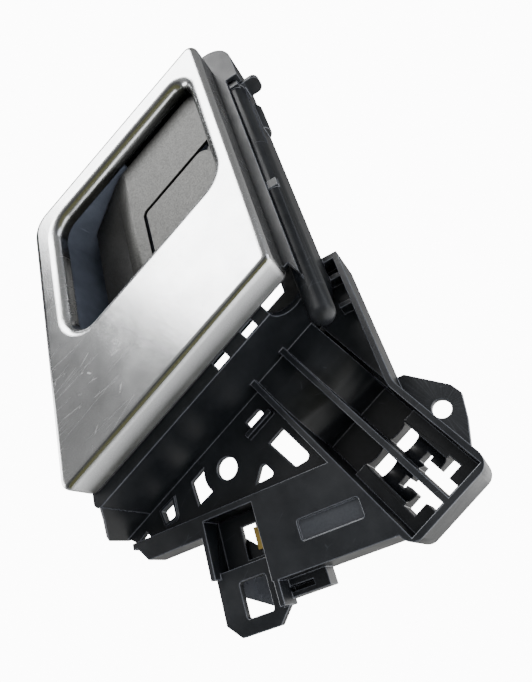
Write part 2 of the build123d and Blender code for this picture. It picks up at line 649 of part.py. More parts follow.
def tongue_clip():
    """Spring steel clip over the edge of the pocket slot, with an angled lead-in."""
    edge = POCKET_SLOT_ACROSS[1]
    low = POCKET_FLOOR + SHELF_THICK
    strip = CLIP_STRIP
    profile = make_face(Polyline(
        (edge + CLIP_LEG, POCKET_FLOOR), (edge, POCKET_FLOOR), (edge, low), (edge + CLIP_LEG, low),
        (edge + CLIP_LEG, low + strip), (edge - strip, low + strip), (edge - strip, POCKET_FLOOR - strip),
        (edge + CLIP_LEG, POCKET_FLOOR - strip), close=True))
    middle = sum(POCKET_SLOT_ALONG) / 2
    return section(profile, middle - CLIP_WIDTH / 2, middle + CLIP_WIDTH / 2)


def channels():
    """Left and right limits of the two cable channels."""
    half = BRACKET_WALL / 2
    left = (BRACKET_X[0] + BRACKET_WALL, BRACKET_MID_X - half)
    return (left, (BRACKET_MID_X + half, BRACKET_X[1] - BRACKET_WALL))


def seat(mid_face, way):
    """Cable seat across the end of a channel: a trough for the ferrule and the stepped windows."""
    wall = BRACKET_MID_X + way * (BRACKET_WIDTH / 2 - BRACKET_WALL + ROOT)
    top = SEAT_WINDOWS[0][1][1]
    body = block(sorted((mid_face - way * ROOT, wall)), (SEAT_FRONT, BRACKET_BACK),
                 (BRACKET_Z[0] + BRACKET_WALL - ROOT, top + ROOT))
    low = SEAT_WINDOWS[3][1][0]
    trough = Pos(mid_face + way * SEAT_TROUGH_FROM_MID, SEAT_FRONT, low) * Cylinder(
        SEAT_TROUGH_R, top - low + OVERCUT, align=(Align.CENTER, Align.CENTER, Align.MIN))
    body -= trough
    for reach, height in SEAT_WINDOWS:
        x_pair = sorted(mid_face + way * distance for distance in reach)
        body -= block(x_pair, (SEAT_FRONT - OVERCUT, BRACKET_BACK + OVERCUT), height)
    return body


def cable_bracket():
    """Two-channel trough with saddles at its root and stepped ferrule seats at its end."""
    x0, x1 = BRACKET_X
    z0, z1 = BRACKET_Z
    outline = rounded([(x0, z0), (x1, z0), (x1, z1), (x0, z1)], (BRACKET_CORNER_R, BRACKET_CORNER_R, 0, 0))
    body = slab(outline, BRACKET_FRONT, BRACKET_BACK)
    inner_z = z0 + BRACKET_WALL
    seat_top = SEAT_WINDOWS[0][1][1]
    floor_front = BRACKET_BACK - BRACKET_WALL
    saddle_axis = BRACKET_FRONT + SADDLE_DROP + SADDLE_R
    for x_pair, way in zip(channels(), (-1, 1)):
        room = block(x_pair, (BRACKET_FRONT - OVERCUT, floor_front), (inner_z, z1 + OVERCUT))
        room += block(x_pair, (BRACKET_FRONT - OVERCUT, BRACKET_BACK + OVERCUT), (inner_z, seat_top))
        saddle = block(x_pair, (BRACKET_FRONT + SADDLE_DROP, BRACKET_BACK), (SADDLE_TOP_Z, z1 + OVERCUT))
        round_part = Pos(sum(x_pair) / 2, saddle_axis, SADDLE_TOP_Z) * Rot(0, 90, 0) * Cylinder(
            SADDLE_R, x_pair[1] - x_pair[0])
        saddle += round_part & block(x_pair, (BRACKET_FRONT, BRACKET_BACK), (seat_top, SADDLE_TOP_Z + OVERCUT))
        body -= room - saddle
        body += seat(BRACKET_MID_X + way * BRACKET_WALL / 2, way)
    return body - wall_gap()


def wall_gap():
    """What is left out of the bracket's right wall above the bend where the side wall turns off."""
    return block((BRACKET_X[1] - BRACKET_WALL, BRACKET_X[1] + OVERCUT), (BRACKET_FRONT - OVERCUT, SWEEP_DEPTH),
                 (BEND_Z, BRACKET_Z[1] + OVERCUT))


def side_sweep():
    """Wall that runs on from the bracket's right wall, bends, and leans up beside the housing."""
    x = BRACKET_X[1]
    top = lean_point(WEB_ACROSS, WEB_TOP_ALONG)
    inner_top = lean_point(WEB_ACROSS - BRACKET_WALL, WEB_TOP_ALONG)
    inner_x = x - BRACKET_WALL
    inner_bend = (inner_x, (inner_x * COS - WEB_ACROSS + BRACKET_WALL) / SIN)
    low = BEND_Z - 2 * SWEEP_R
    path = rounded([(inner_x, low), (x, low), (x, BEND_Z), top, inner_top, inner_bend],
                   (0, 0, SWEEP_R, 0, 0, SWEEP_R + BRACKET_WALL))
    return slab(path, BRACKET_FRONT, EAR_DEPTH + EAR_THICK)


def ear():
    """Screw ear, and the web wall that carries it from the housing."""
    back = EAR_DEPTH + EAR_THICK
    plate = Pos(EAR_X, EAR_Z) * (rounded(EAR_OUTLINE, EAR_OUTLINE_R) - Circle(EAR_HOLE_R))
    body = slab(plate, EAR_DEPTH, back)
    body += side_sweep()
    bend = (BRACKET_X[1], BEND_Z)
    high = lean_point(WEB_ACROSS - OVERCUT, WEB_TOP_ALONG)
    root = lean_point(CARRIER_ACROSS[1] - CARRIER_ROLL_R / 2, WEB_TOP_ALONG)
    corner_r = CARRIER_CORNER_R[1]
    corner = slant(CARRIER_ACROSS[1] - corner_r, CARRIER_HEIGHT[0] + corner_r)
    inner = BRACKET_X[1] - OVERCUT
    base = make_face(Polyline((inner, corner[1]), (inner, BEND_Z), bend, high, root, corner, close=True))
    body += slab(base, BACK_FRONT, CARRIER_BACK)
    body += lean_block((CARRIER_ACROSS[1] - OVERCUT, WEB_ACROSS), end_of(WEB_TOP_ALONG, CARRIER_WALL),
                       (BRACKET_FRONT, CARRIER_BACK))
    for along in WEB_RIBS_ALONG:
        body += lean_block((CARRIER_ACROSS[1] - OVERCUT, WEB_ACROSS - OVERCUT), (along, along + RIB_THICK),
                           (BACK_FRONT - WEB_RIB_HEIGHT, CARRIER_BACK))
    return body


def left_panel():
    """Left end of the lower wall, which widens towards the back."""
    low = CARRIER_HEIGHT[0]
    near, far = PANEL_LEFT
    outline = make_face(Polyline((0, FLANGE_FRONT), near, far, (PLATE_LEFT, CARRIER_BACK), (0, CARRIER_BACK),
                                 close=True))
    return extrude(Pos(0, 0, low) * outline, amount=CARRIER_WALL)


def carrier():
    body = housing()
    for piece in (hole_plate(), shelf(), cable_bracket(), ear(), left_panel()):
        body += piece
    body -= pocket_mouth()
    body += tongue()
    body -= pocket_slot()
    for along in (LUG_LOW_ALONG, LUG_HIGH_ALONG):
        body -= hinge_rod((along[0] - OVERCUT, along[1] + OVERCUT), PIN_R + PIN_FIT)
    for across, z in CUP_BOSSES:
        x, z = slant(across, z)
        body -= stud(x, z, BACK_FRONT - OVERCUT, CARRIER_BACK + OVERCUT, SCREW_R + SCREW_CLEARANCE)
    return body


def cup_outline(grow=0.0):
    return leaning((OPENING_ACROSS[0], CUP_RIGHT), OPENING_HEIGHT, CUP_CORNER_R, grow)


def finger_cup():
    """Drafted bowl behind the opening, low at its lever side, with screw bosses and stop ledges."""
    rim = LIP_DEPTH + CUP_RIM_GAP
    back = CUP_FLOOR + CUP_WALL
    hollow = slab(cup_outline(), rim, CUP_FLOOR, CUP_DRAFT)
    hollow = chamfer(front_edges(hollow, CUP_FLOOR), CUP_FLOOR_CHAMFER)
    body = slab(cup_outline(CUP_WALL), rim, back, CUP_DRAFT) - hollow
    body -= lean_block((CUP_LOW_RIM_FROM, CUP_RIGHT + 2 * CUP_WALL), full_along(), (0, CUP_LOW_RIM))
    ledge = STOP_HALF + STOP_LAND
    for along in [*LEVER_STOPS, TAB_STOP]:
        body += lean_block((CUP_RIGHT - CUP_DRAFT_IN, STOP_ACROSS + ledge), (along - ledge, along + ledge),
                           (CUP_LOW_RIM, CUP_LOW_RIM + STOP_SEAT))
    for across, z in CUP_BOSSES:
        x, z = slant(across, z)
        body += stud(x, z, CUP_FLOOR + OVERCUT, BACK_FRONT, CUP_BOSS_R)
        body -= stud(x, z, BACK_FRONT - SCREW_LENGTH, BACK_FRONT + OVERCUT, SCREW_R + PIN_FIT)
    return body


def stop(along):
    """Rubber pad on its ledge, just short of the piece that rests on it."""
    across_pair = (STOP_ACROSS - STOP_HALF, STOP_ACROSS + STOP_HALF)
    along_pair = (along - STOP_HALF, along + STOP_HALF)
    return lean_block(across_pair, along_pair, (CORE_BACK + STOP_GAP, CUP_LOW_RIM))


def cup_screw(across, z):
    x, z = slant(across, z)
    head = stud(x, z, CARRIER_BACK, CARRIER_BACK + SCREW_HEAD_H, SCREW_HEAD_R)
    return head + stud(x, z, CARRIER_BACK - SCREW_LENGTH, CARRIER_BACK + OVERCUT, SCREW_R)


def lever_outline(left):
    """L-shaped face outline of the lever, which leaves the lower right to the lock tab."""
    inner_a = TAB_LEFT - TAB_GAP / 2
    inner_z = TAB_TOP + TAB_GAP / 2
    low, high = LEVER_HEIGHT
    points = [slant(left, low), slant(inner_a, low), slant(inner_a, inner_z), slant(LEVER_RIGHT, inner_z),
              slant(LEVER_RIGHT, high), slant(left, high)]
    return rounded(points, (LEVER_CORNER_R, 0, TAB_CORNER_R + TAB_GAP, 0, LEVER_CORNER_R, LEVER_CORNER_R))


def tab_outline():
    low, high = LEVER_HEIGHT[0], TAB_TOP - TAB_GAP / 2
    left = TAB_LEFT + TAB_GAP / 2
    points = [slant(left, low), slant(LEVER_RIGHT, low), slant(LEVER_RIGHT, high), slant(left, high)]
    return rounded(points, (MIN_CORNER_R, TAB_LOW_R, TAB_HIGH_R, TAB_CORNER_R))


def bend_line(depth):
    """Lever line at a depth below the face: flat, then bent inwards to the nose end."""
    radius = BEND_R - depth
    centre = (BEND_ACROSS, LEVER_FACE + BEND_R)
    turned = [(centre[0] - radius * math.sin(a), centre[1] - radius * math.cos(a))
              for a in (math.radians(BEND_ANGLE) / 2, math.radians(BEND_ANGLE))]
    drop = (turned[1][0] - NOSE_END) * math.tan(math.radians(BEND_ANGLE))
    return [(BEND_ACROSS, LEVER_FACE + depth), *turned, (NOSE_END, turned[1][1] + drop)]


def lever_skin(near, far, right):
    """Section of the bent lever between two depths below its face."""
    n0, n1, n2, n3 = bend_line(near)
    f0, f1, f2, f3 = bend_line(far)
    top = (right, LEVER_FACE + near)
    back = (right, LEVER_FACE + far)
    return make_face([Line(top, n0), ThreePointArc(n0, n1, n2), Line(n2, n3), Line(n3, f3), Line(f3, f2),
                      ThreePointArc(f2, f1, f0), Line(f0, back), Line(back, top)])


def full_along():
    """Range along the leaning sides that takes in the whole lever."""
    return (along_at(0, 0), along_at(CARRIER_ACROSS[1], FACE_HEIGHT))


def lever_cover():
    skin = section(lever_skin(0, COVER_THICK, LEVER_RIGHT), *full_along())
    return skin & slab(lever_outline(NOSE_END), 0, CUP_FLOOR)


def knuckle(along, outline, rib_left):
    """Bearing knuckle on the pin with its web and rib, both kept inside the face outline."""
    web = make_face(Polyline((HINGE_ACROSS - 2 * KNUCKLE_R, CORE_FACE), (HINGE_ACROSS, CORE_FACE),
                             (HINGE_ACROSS, HINGE_DEPTH), (HINGE_ACROSS - KNUCKLE_R, HINGE_DEPTH), close=True))
    middle = sum(along) / 2
    rib = lean_block((rib_left, HINGE_ACROSS - KNUCKLE_R / 2), (middle - RIB_THICK / 2, middle + RIB_THICK / 2),
                     (CORE_BACK - ROOT, CORE_BACK + RIB_DEPTH))
    inside = slab(outline, CORE_FACE, CORE_BACK + 2 * RIB_DEPTH)
    return hinge_rod(along, KNUCKLE_R) + ((section(web, along[0], along[1]) + rib) & inside)


def arm_along(knuckle_along):
    """Limits of a cable arm centred on its knuckle."""
    middle = sum(knuckle_along) / 2
    return (middle - ARM_WIDTH / 2, middle + ARM_WIDTH / 2)


def cable_arm(along, reach):
    """Arm behind the pin with the slotted eye for a cable nipple."""
    tip = HINGE_DEPTH + reach
    left, right = HINGE_ACROSS - ARM_HALF, HINGE_ACROSS + ARM_HALF
    arm = make_face(Polyline((left, HINGE_DEPTH), (right, HINGE_DEPTH), (right, tip - ARM_HALF),
                             (left, tip - ARM_HALF), close=True))
    arm += Pos(HINGE_ACROSS, tip - ARM_HALF) * Circle(ARM_HALF)
    body = section(arm, along[0], along[1])
    eye = tip - NIPPLE_INSET
    middle = sum(along) / 2
    body -= rod(HINGE_ACROSS, eye, along[0] - OVERCUT, middle + CABLE_SLIT / 2, NIPPLE_R)
    slit = Pos(HINGE_ACROSS - ARM_HALF, eye) * Rectangle(2 * ARM_HALF, CABLE_SLIT)
    body -= section(slit, middle - CABLE_SLIT / 2, middle + CABLE_SLIT / 2)
    return body


def spring_post():
    """Post behind the lever that the free leg of the spring hooks over."""
    leg_y = HINGE_DEPTH + SPRING_MEAN_R + SPRING_WIRE_R + SPRING_SEAT_GAP
    along = (LEVER_KNUCKLES[1][0], LEVER_KNUCKLES[1][0] + RIB_THICK)
    left = HINGE_ACROSS - SPRING_LEG + POST_INSET
    across = (left, left + RIB_THICK)
    post = lean_block(across, along, (CORE_BACK - ROOT, leg_y + RIB_THICK))
    finger = lean_block(across, (SPRING_ALONG[1] - 2 * SPRING_WIRE_R, along[1]), (leg_y, leg_y + RIB_THICK))
    return post + finger


def lever_core():
    outline = lever_outline(NOSE_END)
    skin = lever_skin(COVER_THICK, COVER_THICK + CORE_THICK, CORE_RIGHT)
    body = section(skin, *full_along()) & slab(outline, 0, CUP_FLOOR)
    coil_r = SPRING_MEAN_R + SPRING_WIRE_R + SPRING_ROOM
    body -= lean_block((HINGE_ACROSS - coil_r, LEVER_RIGHT),
                       (SPRING_ALONG[0] - SPRING_ROOM, SPRING_ALONG[1] + SPRING_ROOM), (0, CORE_BACK + OVERCUT))
    for along in LEVER_KNUCKLES:
        body += knuckle(along, outline, TAB_LEFT + RIB_INSET)
    body += cable_arm(arm_along(LEVER_KNUCKLES[0]), LEVER_ARM_REACH)
    body += spring_post()
    return body - hinge_rod(full_along(), PIN_R + PIN_FIT)


def lock_cover():
    return slab(tab_outline(), LEVER_FACE, CORE_FACE)


def lock_crank():
    outline = tab_outline()
    body = slab(outline, CORE_FACE, CORE_BACK)
    body &= lean_block((0, CORE_RIGHT), full_along(), (0, CUP_FLOOR))
    for along in TAB_KNUCKLES:
        body += knuckle(along, outline, TAB_LEFT + TAB_RIB_INSET)
    body += cable_arm(arm_along(TAB_KNUCKLES[0]), TAB_ARM_REACH)
    return body - hinge_rod(full_along(), PIN_R + PIN_FIT)


def hinge_pin():
    head = hinge_rod((PIN_ALONG[1], PIN_ALONG[1] + PIN_CLIP_THICK), PIN_HEAD_R)
    return hinge_rod(PIN_ALONG, PIN_R) + head


def pin_clip():
    along = (LUG_LOW_ALONG[0] - KNUCKLE_GAP - PIN_CLIP_THICK, LUG_LOW_ALONG[0] - KNUCKLE_GAP)
    return hinge_rod(along, PIN_CLIP_R) - hinge_rod((along[0] - OVERCUT, along[1] + OVERCUT), PIN_R + PIN_FIT)


def lever_spring():
    """Torsion spring round the pin: one leg behind the flange, one hooked over the lever post."""
    rise = (SPRING_ALONG[1] - SPRING_ALONG[0]) / (SPRING_TURNS * SPRING_STEPS)
    centre = ACROSS_DIR * HINGE_ACROSS + ALONG_DIR * SPRING_ALONG[0] + Vector(0, HINGE_DEPTH, 0)
    coil = []
    for step in range(SPRING_TURNS * SPRING_STEPS + 1):
        angle = math.radians(360 / SPRING_STEPS * step)
        out = Vector(0, math.cos(angle), 0) - ACROSS_DIR * math.sin(angle)
        coil.append(centre + out * SPRING_MEAN_R + ALONG_DIR * (rise * step))
    path = Polyline(coil[0] + ACROSS_DIR * SPRING_SHORT_LEG, *coil, coil[-1] - ACROSS_DIR * SPRING_LEG)
    wire = Plane(origin=path @ 0, z_dir=path % 0) * RegularPolygon(SPRING_WIRE_R, 6)
    return sweep(wire, path=path, transition=Transition.RIGHT)


def detent_spring():
    """Leaf on the carrier back that presses on the tip of the lock arm."""
    face = HINGE_DEPTH + TAB_ARM_REACH + LEAF_GAP
    foot = BACK_FRONT
    rise = HINGE_ACROSS - LEAF_SPAN
    t = LEAF_THICK
    end = HINGE_ACROSS + ARM_HALF
    heel = rise - LEAF_FOOT
    profile = make_face(Polyline((heel, foot), (rise + t, foot), (rise + t, face + t), (end, face + t),
                                 (end, face), (rise, face), (rise, foot - t), (heel, foot - t), close=True))
    bump = Pos(HINGE_ACROSS - LEAF_SPAN / 4, face + LEAF_BUMP_R - LEAF_BUMP) * Circle(LEAF_BUMP_R)
    bump &= Pos(HINGE_ACROSS, face + t - 2 * LEAF_BUMP_R) * Rectangle(4 * LEAF_SPAN, 4 * LEAF_BUMP_R)
    return section(profile + bump, *arm_along(TAB_KNUCKLES[0]))


def group(pieces):
    """Several like solids as one node."""
    return Compound(children=list(pieces))


os.makedirs("parts", exist_ok=True)
MADE = {
    "bezel": bezel(),
    "felt_strip": felt_strip(),
    "carrier": carrier(),
    "finger_cup": finger_cup(),
    "lever_cover": lever_cover(),
    "lever_core": lever_core(),
    "lock_cover": lock_cover(),
    "lock_crank": lock_crank(),
    "hinge_pin": hinge_pin(),
    "pin_clip": pin_clip(),
    "lever_spring": lever_spring(),
    "detent_spring": detent_spring(),
    "tongue_clip": tongue_clip(),
    "lever_bump_stops": group(stop(along) for along in LEVER_STOPS),
    "tab_bump_stop": stop(TAB_STOP),
    "cup_screws": group(cup_screw(across, z) for across, z in CUP_BOSSES),
}
for name, shape in MADE.items():
    export_step(PLACE * shape, f"parts/{name}.step")
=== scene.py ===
import math

import bpy
from bpy.props import FloatProperty, FloatVectorProperty, PointerProperty
from mathutils import Matrix, Vector


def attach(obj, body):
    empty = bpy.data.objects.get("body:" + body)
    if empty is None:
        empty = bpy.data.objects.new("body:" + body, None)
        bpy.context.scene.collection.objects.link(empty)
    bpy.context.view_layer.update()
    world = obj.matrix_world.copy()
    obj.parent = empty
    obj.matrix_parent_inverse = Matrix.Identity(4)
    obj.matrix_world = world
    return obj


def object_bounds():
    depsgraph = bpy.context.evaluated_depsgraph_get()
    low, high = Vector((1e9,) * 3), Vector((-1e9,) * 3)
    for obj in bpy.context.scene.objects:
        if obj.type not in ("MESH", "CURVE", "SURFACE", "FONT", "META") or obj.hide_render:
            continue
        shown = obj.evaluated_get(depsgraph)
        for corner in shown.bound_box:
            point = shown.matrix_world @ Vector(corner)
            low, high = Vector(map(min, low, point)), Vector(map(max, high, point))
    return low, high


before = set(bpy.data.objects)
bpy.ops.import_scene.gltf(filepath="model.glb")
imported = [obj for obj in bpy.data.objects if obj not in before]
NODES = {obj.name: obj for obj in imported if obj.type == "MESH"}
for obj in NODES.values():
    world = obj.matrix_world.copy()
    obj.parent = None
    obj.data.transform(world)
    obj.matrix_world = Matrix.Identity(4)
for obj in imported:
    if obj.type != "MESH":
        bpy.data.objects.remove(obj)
CAD_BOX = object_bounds()

bl_info = {
    "name": "Car interior door handle",
    "version": (1, 0, 0),
    "blender": (4, 5, 0),
    "location": "3D view > Sidebar > Handle",
    "description": "Finishes, light and camera for a car interior door handle",
    "category": "Object",
}

MM = 0.001
LEAN = math.radians(25.6)

# Boxes in the part's frame, as centre and half size in metres: the shelf recess, whose floor is painted paler
# as painted light, the scored screw ear, and the part of the bezel that hands scratch most
RECESS_CENTRE = (-0.0530, -0.0168, -0.0018)
RECESS_HALF = (0.0115, 0.0035, 0.0035)
EAR_CENTRE = (0.0025, 0.0015, 0.0)
EAR_HALF = (0.0085, 0.004, 0.021)
HANDLED_CENTRE = (-0.083, -0.054, 0.088)
HANDLED_HALF = (0.026, 0.02, 0.034)

# Lower rim of the bezel in metres: its upper limit, the width of the change, and the front and back of the
# painted shade that darkens it towards the carrier
RIM_TOP = 0.0612
RIM_FADE = 0.0006
RIM_SHADE_DEPTH = (-0.0512, -0.0432)

# Layers of hairline scratches: angle in degrees, then length, gap and width in mm, then share kept
HAIRLINES = (
    (62, 45, 4.6, 0.07, 0.46),
    (86, 34, 3.9, 0.06, 0.45),
    (38, 28, 5.1, 0.06, 0.42),
    (-32, 24, 6.3, 0.05, 0.4),
)

# Limits of the edge modifiers: joined corners, flat neighbours, and edges that get rounded
WELD_GAP = 0.002 * MM
FLAT_ANGLE = math.radians(0.6)
EDGE_ANGLE = math.radians(35)

# Material slots of the carrier: the raw moulding, and the lighter edge finish, a painted highlight on rounded
# edges
RAW, EDGE_HIGHLIGHT = 0, 1

# Small webs of the carrier: thickness in mm, material slot, and front outline in mm
WEBS = {
    "bracket_corner_web": (6.5, RAW, ((-8.5, -8.2, 54.5), (-3.5, -8.2, 54.5),
                                      (-3.5, -8.2, 58.5), (-8.5, -8.2, 58.5))),
    "housing_sill_web": (2.0, RAW, ((-19.0, -12.0, 63.5), (3.0, -12.0, 63.5),
                                    (3.0, -12.0, 76.5), (-19.0, -12.0, 76.5))),
    # The tongue wing takes the lighter edge finish: painted light on a web that sits in the tongue's shade.
    "tongue_wing_web": (1.5, EDGE_HIGHLIGHT, ((-100.8, -3.5, 9.5), (-91.2, 0.2, -5.2),
                                      (-84.6, -6.0, 8.5), (-98.1, -6.0, 15.0))),
    "pocket_slot_web": (1.5, RAW, ((-88.9, -4.5, 12.3), (-83.1, -4.5, 9.5),
                                   (-81.8, -4.5, 13.8), (-84.6, -4.5, 21.3))),
}

# Softboxes: name, direction from the part, distance and size in metres, colour
SOFTBOXES = (
    ("key", (0.15, -0.65, 0.74), 0.8, (0.45, 0.45), "#ffffff"),
    ("fill", (0.9, -0.3, -0.18), 0.7, (0.3, 0.4), "#f4f7ff"),
    ("side", (-0.85, -0.12, 0.52), 0.6, (0.4, 0.4), "#ffffff"),
    ("under", (0.5, 0.12, -1.0), 0.2, (0.3, 0.3), "#ffffff"),
    ("rim", (0.35, 0.85, -0.3), 0.6, (0.4, 0.25), "#ffffff"),
)
FLOOR_HALF = 0.9

# Room that the part mirrors, from straight below (0) to straight above (1)
ROOM_IN_FRONT = (("#8b8f96", 0.0), ("#908f70", 0.1), ("#807f50", 0.22), ("#6a6b69", 0.36), ("#3c3d41", 0.48),
                 ("#a8a8a7", 0.57), ("#a8a8a7", 0.79), ("#2a2c30", 0.93))
ROOM_BEHIND = (("#f2f2f0", 0.55), ("#4a4c50", 0.9))
MIRRORED_STRENGTH = 0.8
AMBIENT_STRENGTH = 1.6
BACKDROP_STRENGTH = 12.0


def linear(code):
    """Linear RGB of an sRGB hex colour."""
    parts = [int(code[k:k + 2], 16) / 255 for k in (1, 3, 5)]
    return [c / 12.92 if c <= 0.04045 else ((c + 0.055) / 1.055) ** 2.4 for c in parts]


def rgba(colour):
    """Opaque colour from three channels."""
    return (*colour, 1.0)


class HandleFinishes(bpy.types.PropertyGroup):
    """Colours of the finishes, and how far edges are rounded"""
    silver: FloatVectorProperty(name="Satin silver", description="Plated bezel", subtype="COLOR",
                                size=3, min=0, max=1, default=linear("#d2d3d4"))
    graphite: FloatVectorProperty(name="Graphite", description="Metallic paint of lever and lock tab",
                                  subtype="COLOR", size=3, min=0, max=1, default=linear("#353534"))
    cup_black: FloatVectorProperty(name="Cup black", description="Grained plastic of cup and lever core",
                                   subtype="COLOR", size=3, min=0, max=1, default=linear("#343840"))
    # Near black, with a slight blue cast painted in as the sky's reflection.
    moulding_black: FloatVectorProperty(name="Moulding black", description="Raw plastic of the carrier",
                                        subtype="COLOR", size=3, min=0, max=1, default=linear("#0d0f12"))
    # Paler black painted in the shelf recess as the light on its floor, and used for the scored ear.
    lit_recess_and_ear_black: FloatVectorProperty(name="Lit recess and ear black", description="Painted light in the recess, and scored ear",
                                     subtype="COLOR", size=3, min=0, max=1, default=linear("#282a2e"))
    # Lighter black for the rounded edges of the carrier: a painted edge highlight.
    edge_highlight_black: FloatVectorProperty(name="Edge highlight black", description="Painted highlight on the carrier's edges",
                                    subtype="COLOR", size=3, min=0, max=1, default=linear("#303237"))
    yellow_zinc: FloatVectorProperty(name="Yellow zinc", description="Passivated clip", subtype="COLOR",
                                     size=3, min=0, max=1, default=linear("#c9ad62"))
    bright_zinc: FloatVectorProperty(name="Bright zinc", description="Pin and screws", subtype="COLOR",
                                     size=3, min=0, max=1, default=linear("#c9cbcf"))
    spring_steel: FloatVectorProperty(name="Spring steel", description="Springs and ring", subtype="COLOR",
                                      size=3, min=0, max=1, default=linear("#8d8c8a"))
    rubber: FloatVectorProperty(name="Rubber", description="Bump stops", subtype="COLOR",
                                size=3, min=0, max=1, default=linear("#1b1b1b"))
    felt: FloatVectorProperty(name="Felt", description="Strip behind the bezel", subtype="COLOR",
                              size=3, min=0, max=1, default=linear("#2a2a2c"))
    edge_break: FloatProperty(name="Edge break", description="Rounding of moulded edges", unit="LENGTH",
                              min=0, default=0.3 * MM)


class HandleStage(bpy.types.PropertyGroup):
    """Camera, floor and power of the softboxes"""
    camera_place: FloatVectorProperty(name="Camera place", description="Where the camera stands",
                                      subtype="TRANSLATION", unit="LENGTH", size=3,
                                      default=(-0.0156, -0.2021, -0.0563))
    camera_forward: FloatVectorProperty(name="Camera forward", description="Viewing direction",
                                        subtype="DIRECTION", size=3, default=(-0.0379, 0.8381, 0.5442))
    camera_down: FloatVectorProperty(name="Camera down", description="Direction of the picture's lower side",
                                     subtype="DIRECTION", size=3, default=(-0.7515, 0.335, -0.5683))
    lens: FloatProperty(name="Lens", description="Focal length on a 36 mm sensor", subtype="DISTANCE_CAMERA",
                        min=1, default=29.56)
    floor_drop: FloatProperty(name="Floor drop", description="Room between the part and the floor",
                              unit="LENGTH", min=0, default=120 * MM)
    key_power: FloatProperty(name="Key power", description="Softbox in front and above", unit="POWER",
                             min=0, default=9.0)
    fill_power: FloatProperty(name="Fill power", description="Softbox at the hinge side", unit="POWER",
                              min=0, default=1.2)
    side_power: FloatProperty(name="Side power", description="Softbox at the cup side, above", unit="POWER",
                              min=0, default=4.0)
    under_power: FloatProperty(name="Under power", description="Softbox below the part", unit="POWER",
                               min=0, default=0.85)
    rim_power: FloatProperty(name="Rim power", description="Softbox behind and below", unit="POWER",
                             min=0, default=0.5)


def add(tree, kind, inputs=None, **settings):
    """Adds a shader node, sets its attributes, and sets or links its inputs."""
    made = tree.nodes.new(kind)
    for name, value in settings.items():
        setattr(made, name, value)
    for name, value in (inputs or {}).items():
        if isinstance(value, bpy.types.NodeSocket):
            tree.links.new(value, made.inputs[name])
        else:
            made.inputs[name].default_value = value
    return made


def new_material(name):
    """Empty material with its tree, shader and object coordinates."""
    material = bpy.data.materials.new(name)
    material.use_nodes = True
    tree = material.node_tree
    shader = tree.nodes["Principled BSDF"]
    place = add(tree, "ShaderNodeTexCoord").outputs["Object"]
    return material, tree, shader, place


def scratch_lines(tree, place, angle, length, spacing, width, share):
    """Mask of fine straight scratches in the face plane, at one angle."""
    turned = add(tree, "ShaderNodeMapping", {"Vector": place, "Rotation": (math.radians(90), 0, 0)})
    laid = add(tree, "ShaderNodeMapping", {"Vector": turned.outputs["Vector"], "Rotation": (0, 0, angle),
                                           "Scale": (1 / length, 1 / spacing, 1)})
    cells = add(tree, "ShaderNodeTexVoronoi", {"Vector": laid.outputs["Vector"], "Scale": 1.0},
                voronoi_dimensions="2D", feature="DISTANCE_TO_EDGE")
    line = add(tree, "ShaderNodeMapRange", {"Value": cells.outputs["Distance"], "From Min": 0.0,
                                            "From Max": width / spacing, "To Min": 1.0, "To Max": 0.0})
    broken = add(tree, "ShaderNodeTexNoise", {"Vector": laid.outputs["Vector"], "Scale": 1.3, "Detail": 2.0})
    kept = add(tree, "ShaderNodeMapRange", {"Value": broken.outputs["Fac"], "From Min": 1 - share,
                                            "From Max": 1 - share + 0.06})
    return add(tree, "ShaderNodeMath", {0: line.outputs["Result"], 1: kept.outputs["Result"]},
               operation="MULTIPLY").outputs["Value"]


def box_mask(tree, place, centre, half, turn, soft):
    """1 inside a box turned about Y, 0 outside it, with a soft border that is a share of its size."""
    inside = add(tree, "ShaderNodeMapping", {"Vector": place, "Location": centre, "Rotation": (0, turn, 0),
                                             "Scale": half}, vector_type="TEXTURE")
    far = add(tree, "ShaderNodeVectorMath", {0: inside.outputs["Vector"]}, operation="ABSOLUTE")
    axes = add(tree, "ShaderNodeSeparateXYZ", {"Vector": far.outputs["Vector"]})
    wide = add(tree, "ShaderNodeMath", {0: axes.outputs["X"], 1: axes.outputs["Z"]}, operation="MAXIMUM")
    most = add(tree, "ShaderNodeMath", {0: wide.outputs["Value"], 1: axes.outputs["Y"]}, operation="MAXIMUM")
    return add(tree, "ShaderNodeMapRange", {"Value": most.outputs["Value"], "From Min": 1 - soft,
                                            "From Max": 1.0, "To Min": 1.0, "To Max": 0.0}).outputs["Result"]


